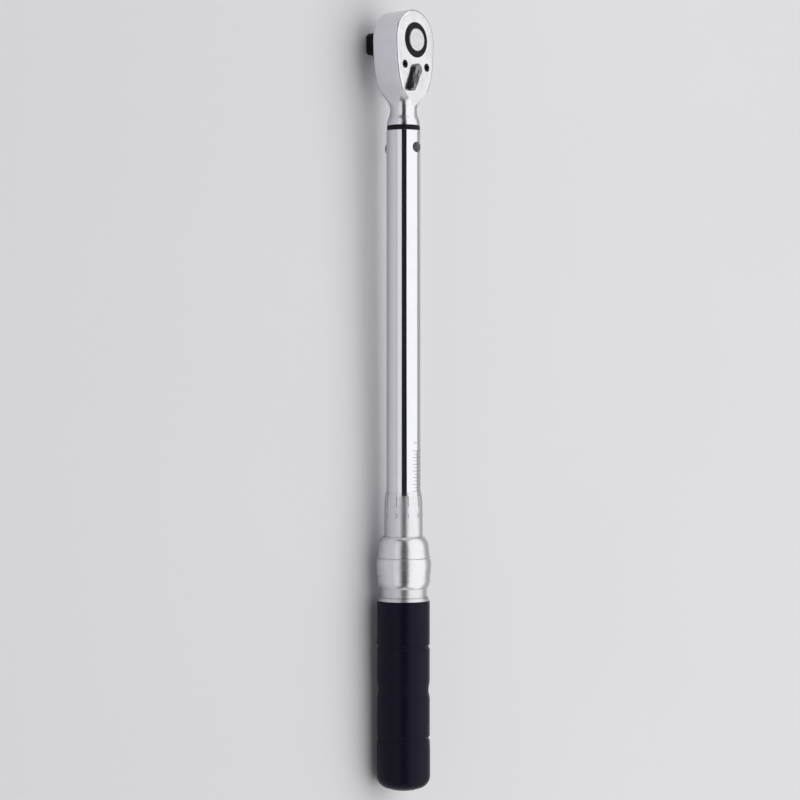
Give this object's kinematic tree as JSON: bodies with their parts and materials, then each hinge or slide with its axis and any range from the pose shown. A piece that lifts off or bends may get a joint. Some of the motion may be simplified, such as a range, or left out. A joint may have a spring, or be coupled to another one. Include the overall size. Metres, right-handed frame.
{
  "type": "torque wrench",
  "caption": "Click torque wrench with a reversible ratchet head, chrome tube, micrometer thimble with lock ring, and a black ringed grip.",
  "frame": {"origin": "on the drive axis, in the middle of the head's thickness", "axes": "+X from the drive axis along the tube towards the grip's end, +Z out of the face with the reversing lever, away from the square drive"},
  "size_m": [0.4664, 0.0354, 0.0414],
  "materials": {
    "forged_chrome": "forged head, satin chrome plate",
    "plate_chrome": "ground cover plate, chrome plate",
    "black_screws": "black oxide steel screws",
    "seal_rubber": "black rubber seal",
    "black_oxide": "black oxide alloy steel",
    "spring_steel": "spring steel wire",
    "satin_steel": "satin plated button",
    "pin_steel": "ground steel pins",
    "ball_steel": "hardened polished balls",
    "dark_chrome": "dark nickel plated lever",
    "tool_steel": "hardened tool steel",
    "tube_chrome": "polished chrome plated tube",
    "dark_pin": "dark ground pivot pin",
    "nut_steel": "machined steel",
    "thimble_chrome": "satin chrome plated thimble",
    "neck_chrome": "polished chrome plated neck",
    "black_plastic": "black moulded grip",
    "plug_plastic": "black moulded plug",
    "ring_chrome": "satin chrome plated lock ring"
  },
  "bodies": {
    "tube_body": {"tube": "tube_chrome", "pivot_pin": "dark_pin", "tube_nut": "nut_steel", "nut_pin": "pin_steel", "main_spring": "spring_steel"},
    "head": {"ratchet_head": "forged_chrome", "cover_plate": "plate_chrome", "cover_screws": "black_screws", "neck_seal": "seal_rubber"},
    "drive": {"drive_gear": "black_oxide", "button_spring": "spring_steel"},
    "button": {"release_button": "satin_steel", "release_pin": "pin_steel"},
    "socket_ball": {"drive_ball": "ball_steel"},
    "lever": {"reversing_lever": "dark_chrome", "detent_ball": "ball_steel", "detent_spring": "spring_steel"},
    "pawl_body": {"pawl": "tool_steel"},
    "block": {"tilt_block": "tool_steel"},
    "plunger": {"spring_plunger": "nut_steel"},
    "follower": {"spring_follower": "nut_steel", "thrust_ball": "ball_steel"},
    "handle": {"setting_screw": "nut_steel", "thimble": "thimble_chrome", "handle_core": "neck_chrome", "grip": "black_plastic", "end_plug": "plug_plastic", "lock_nut": "nut_steel", "lock_fingers": "spring_steel", "ring_spring": "spring_steel"},
    "ring": {"lock_ring": "ring_chrome"}
  },
  "joints": [
    {"name": "head_click", "type": "hinge", "parent": "tube_body", "child": "head", "pos_m": [0.064, 0, 0], "axis": [0, 0, 1], "range_deg": [0, 2.1], "stiffness_Nm_per_rad": 15, "springref_deg": -1.72, "deforming": ["neck_seal"]},
    {"name": "block_tilt", "type": "hinge", "parent": "head", "child": "block", "pos_m": [0.118, -0.0035, 0], "axis": [0, 0, 1], "range_deg": [-16, 0]},
    {"name": "plunger_slide", "type": "slide", "parent": "tube_body", "child": "plunger", "axis": [1, 0, 0], "range_m": [0, 0.0016], "deforming": ["main_spring"]},
    {"name": "drive_spin", "type": "hinge", "parent": "head", "child": "drive", "pos_m": [0, 0, 0], "axis": [0, 0, 1], "continuous": true},
    {"name": "button_press", "type": "slide", "parent": "drive", "child": "button", "axis": [0, 0, -1], "range_m": [0, 0.003], "stiffness_N_per_m": 700, "springref_m": -0.003, "deforming": ["button_spring"]},
    {"name": "ball_retract", "type": "slide", "parent": "drive", "child": "socket_ball", "axis": [-1, 0, 0], "range_m": [0, 0.00101]},
    {"name": "lever_turn", "type": "hinge", "parent": "head", "child": "lever", "pos_m": [0.018, 0, 0], "axis": [0, 0, 1], "range_deg": [0, 50]},
    {"name": "pawl_rock", "type": "hinge", "parent": "head", "child": "pawl_body", "pos_m": [0.018, 0, 0], "axis": [0, 0, 1], "range_deg": [-7.5, 0]},
    {"name": "setting_slide", "type": "slide", "parent": "tube_body", "child": "follower", "axis": [-1, 0, 0], "range_m": [0, 0.0241]},
    {"name": "grip_turn", "type": "hinge", "parent": "follower", "child": "handle", "pos_m": [0, 0, 0], "axis": [-1, 0, 0], "range_deg": [0, 4320], "deforming": ["lock_fingers"]},
    {"name": "lock_ring_slide", "type": "slide", "parent": "handle", "child": "ring", "axis": [1, 0, 0], "range_m": [0, 0.003], "stiffness_N_per_m": 1500, "springref_m": -0.002, "deforming": ["ring_spring"]}
  ],
  "couplings": [
    {"joint": "block_tilt", "follows": "head_click", "ratio": -7.48},
    {"joint": "plunger_slide", "follows": "head_click", "m_per_rad": 0.040928},
    {"joint": "ball_retract", "follows": "button_press", "ratio": 0.33333},
    {"joint": "pawl_rock", "follows": "lever_turn", "ratio": -0.148},
    {"joint": "setting_slide", "follows": "grip_turn", "m_per_rad": 0.00031831}
  ]
}
